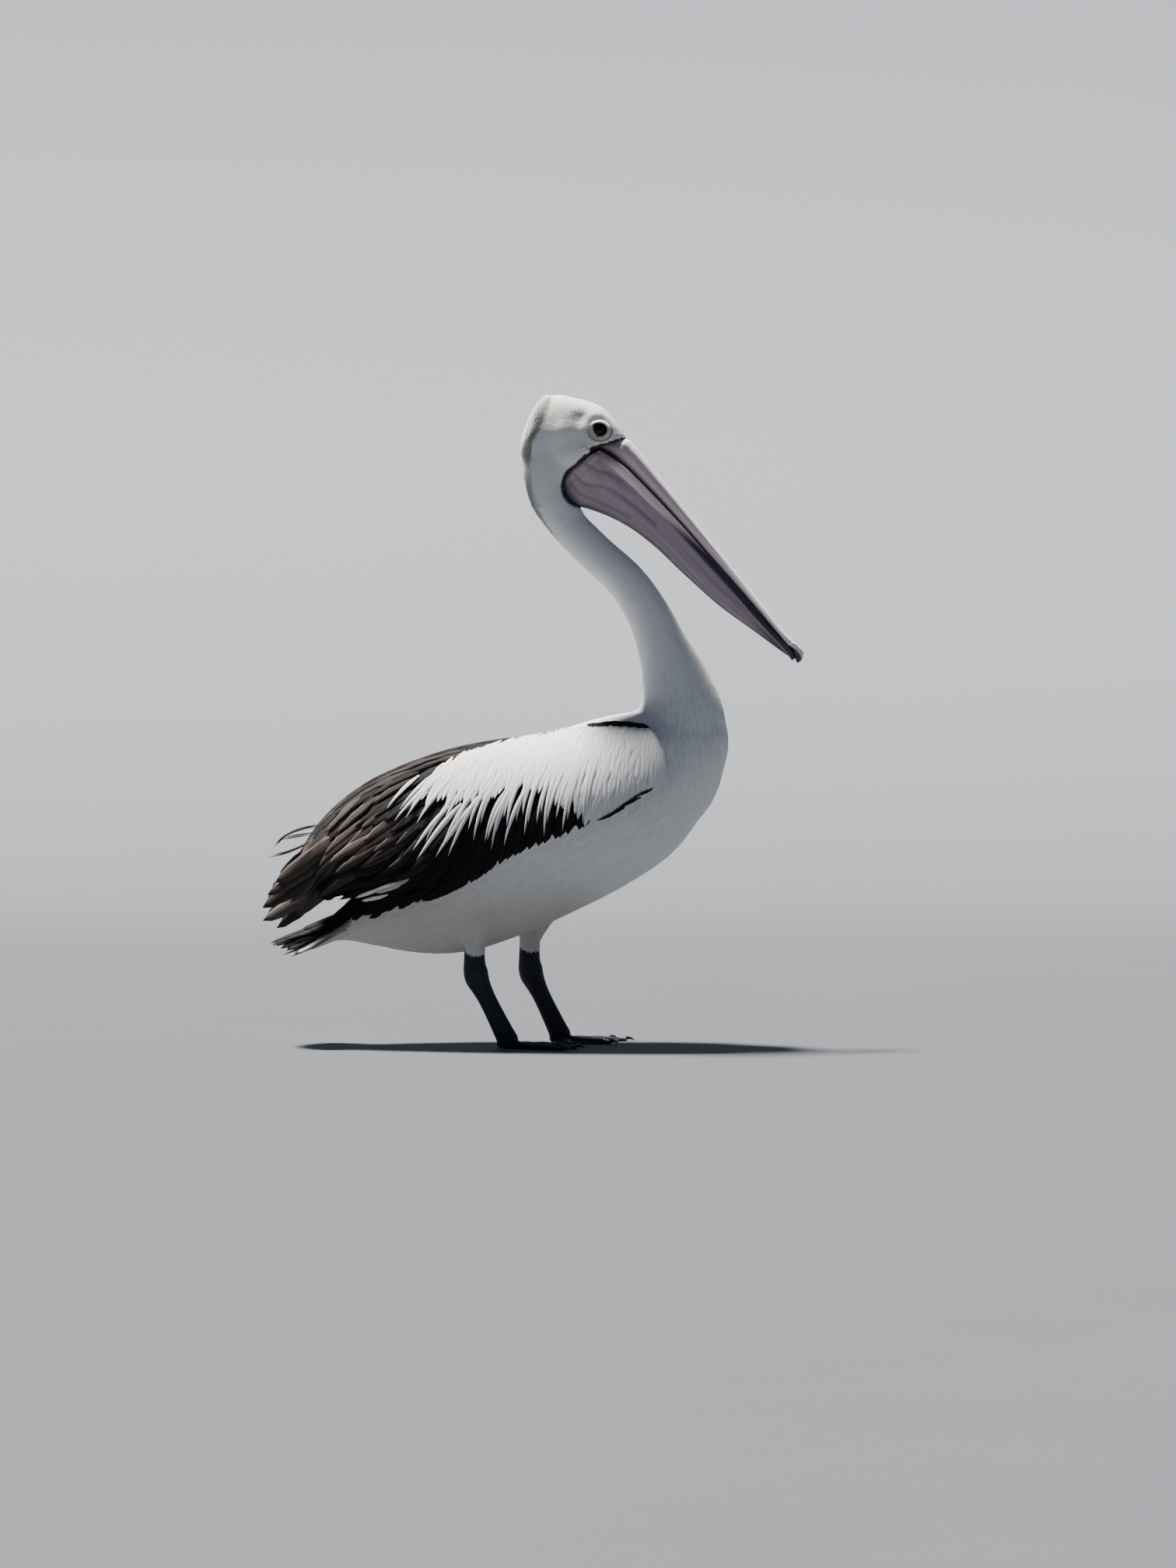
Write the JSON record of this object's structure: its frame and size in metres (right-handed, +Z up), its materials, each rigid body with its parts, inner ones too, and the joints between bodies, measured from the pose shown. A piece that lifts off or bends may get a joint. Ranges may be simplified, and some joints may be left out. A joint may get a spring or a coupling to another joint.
{
  "type": "pelican",
  "caption": "Standing pelican with folded wings, an S-curved neck, a long pouched bill held low and webbed feet flat on the floor.",
  "frame": {"origin": "on the floor, under the middle of the bird's bounding box", "axes": "+X the way the bird faces, +Y its left side, +Z up"},
  "size_m": [0.8318, 0.2558, 1.0047],
  "materials": {
    "plumage": "soft white feathers",
    "flight_feathers": "brownish-black feathers, worn paler on top",
    "bill": "satin pink horn",
    "bill_nail": "satin yellowish horn, dark below",
    "pouch": "bare pinkish skin",
    "eye": "wet, dark brown",
    "leg_skin": "scaly slate-blue skin",
    "claw": "satin dark horn"
  },
  "bodies": {
    "root": {"head": "plumage", "neck_upper": "plumage", "neck_middle": "plumage", "neck_lower": "plumage", "trunk": "plumage", "wing_arm_right": "plumage", "wing_arm_left": "plumage", "wing_quills_right": "flight_feathers", "wing_quills_left": "flight_feathers", "wing_tip_right": "flight_feathers", "wing_tip_left": "flight_feathers", "tail": "flight_feathers", "thigh_right": "plumage", "thigh_left": "plumage", "bill_upper": "bill", "bill_nail": "bill_nail", "bill_lower": "bill", "bill_pouch": "pouch", "eye_right": "eye", "eye_left": "eye", "shank_right": "leg_skin", "shank_left": "leg_skin", "foot_right": "leg_skin", "foot_left": "leg_skin", "claw_hallux_right": "claw", "claw_inner_right": "claw", "claw_middle_right": "claw", "claw_outer_right": "claw", "claw_hallux_left": "claw", "claw_inner_left": "claw", "claw_middle_left": "claw", "claw_outer_left": "claw"}
  },
  "joints": []
}
